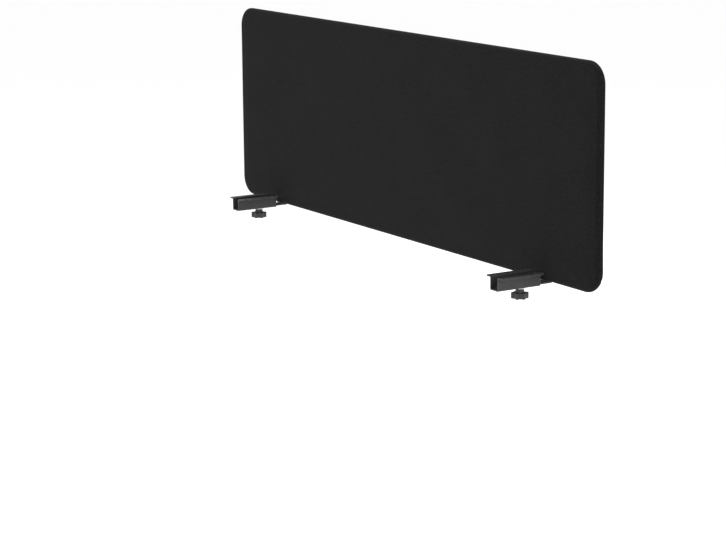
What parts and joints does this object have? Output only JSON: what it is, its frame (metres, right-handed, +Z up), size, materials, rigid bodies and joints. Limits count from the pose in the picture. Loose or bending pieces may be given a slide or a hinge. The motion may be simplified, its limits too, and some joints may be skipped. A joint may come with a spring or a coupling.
{
  "type": "desk privacy panel",
  "caption": "Long fabric-covered desk screen with rounded corners and soft edges, on sliding steel arms that screw under the rear edge of a desktop.",
  "frame": {"origin": "on the screen's front face, half way along it, level with the desktop's underside", "axes": "+X along the screen, +Y away from the person at the desk, +Z up"},
  "size_m": [1.6, 0.1594, 0.5432],
  "materials": {
    "cover_fabric": "matte",
    "felt_padding": "matte",
    "acoustic_board": "matte",
    "frame_timber": "matte",
    "dowel_beech": "satin",
    "socket_nylon": "satin",
    "zip_tape": "matte",
    "zip_coil": "satin",
    "zip_metal": "satin",
    "bracket_steel": "satin",
    "blade_steel": "satin",
    "zinc_steel": "satin",
    "insert_brass": "satin",
    "knob_plastic": "satin"
  },
  "bodies": {
    "brackets": {"left_channel": "bracket_steel", "right_channel": "bracket_steel", "left_carriage_bolt": "zinc_steel", "right_carriage_bolt": "zinc_steel"},
    "arms": {"left_slide_bar": "bracket_steel", "right_slide_bar": "bracket_steel", "left_upright_blade": "blade_steel", "right_upright_blade": "blade_steel"},
    "panel": {"front_cover": "cover_fabric", "rear_cover": "cover_fabric", "front_pad": "felt_padding", "rear_pad": "felt_padding", "top_rail": "frame_timber", "bottom_rail": "frame_timber", "left_stile": "frame_timber", "right_stile": "frame_timber", "centre_mullion": "frame_timber", "left_bracket_post": "frame_timber", "right_bracket_post": "frame_timber", "top_left_corner_block": "frame_timber", "top_right_corner_block": "frame_timber", "bottom_left_corner_block": "frame_timber", "bottom_right_corner_block": "frame_timber", "frame_dowels": "dowel_beech", "outer_left_infill": "acoustic_board", "inner_left_infill": "acoustic_board", "inner_right_infill": "acoustic_board", "outer_right_infill": "acoustic_board", "left_blade_socket": "socket_nylon", "right_blade_socket": "socket_nylon", "left_socket_screws": "zinc_steel", "right_socket_screws": "zinc_steel", "upper_zip_tape": "zip_tape", "lower_zip_tape": "zip_tape", "upper_zip_coil": "zip_coil", "lower_zip_coil": "zip_coil", "zip_stops": "zip_metal"},
    "left_washer": {"left_washer": "zinc_steel"},
    "right_washer": {"right_washer": "zinc_steel"},
    "left_knob": {"left_knob_grip": "knob_plastic", "left_knob_insert": "insert_brass"},
    "right_knob": {"right_knob_grip": "knob_plastic", "right_knob_insert": "insert_brass"},
    "zip_slider": {"zip_slider": "zip_metal"},
    "zip_pull": {"zip_pull": "zip_metal"}
  },
  "joints": [
    {"name": "arm_slide", "type": "slide", "parent": "brackets", "child": "arms", "axis": [0, 1, 0], "range_m": [0, 0.04]},
    {"name": "panel_lift", "type": "slide", "parent": "arms", "child": "panel", "axis": [0, 0, 1], "range_m": [0, 0.12]},
    {"name": "left_screw_travel", "type": "slide", "parent": "brackets", "child": "left_washer", "axis": [0, 0, 1], "range_m": [-0.0026, 0]},
    {"name": "left_knob_turn", "type": "hinge", "parent": "left_washer", "child": "left_knob", "pos_m": [-0.6, -0.06, -0.045], "axis": [0, 0, 1], "range_deg": [-720, 0]},
    {"name": "right_screw_travel", "type": "slide", "parent": "brackets", "child": "right_washer", "axis": [0, 0, 1], "range_m": [-0.0026, 0]},
    {"name": "right_knob_turn", "type": "hinge", "parent": "right_washer", "child": "right_knob", "pos_m": [0.6, -0.06, -0.045], "axis": [0, 0, 1], "range_deg": [-720, 0]},
    {"name": "zip_run", "type": "slide", "parent": "panel", "child": "zip_slider", "axis": [-1, 0, 0], "range_m": [0, 1.458]},
    {"name": "zip_pull_swing", "type": "hinge", "parent": "zip_slider", "child": "zip_pull", "pos_m": [0.73, 0.028, 0.006], "axis": [0, 0, -1], "range_deg": [0, 170]}
  ],
  "couplings": [
    {"joint": "left_screw_travel", "follows": "left_knob_turn", "m_per_rad": 0.00019894},
    {"joint": "right_screw_travel", "follows": "right_knob_turn", "m_per_rad": 0.00019894}
  ]
}
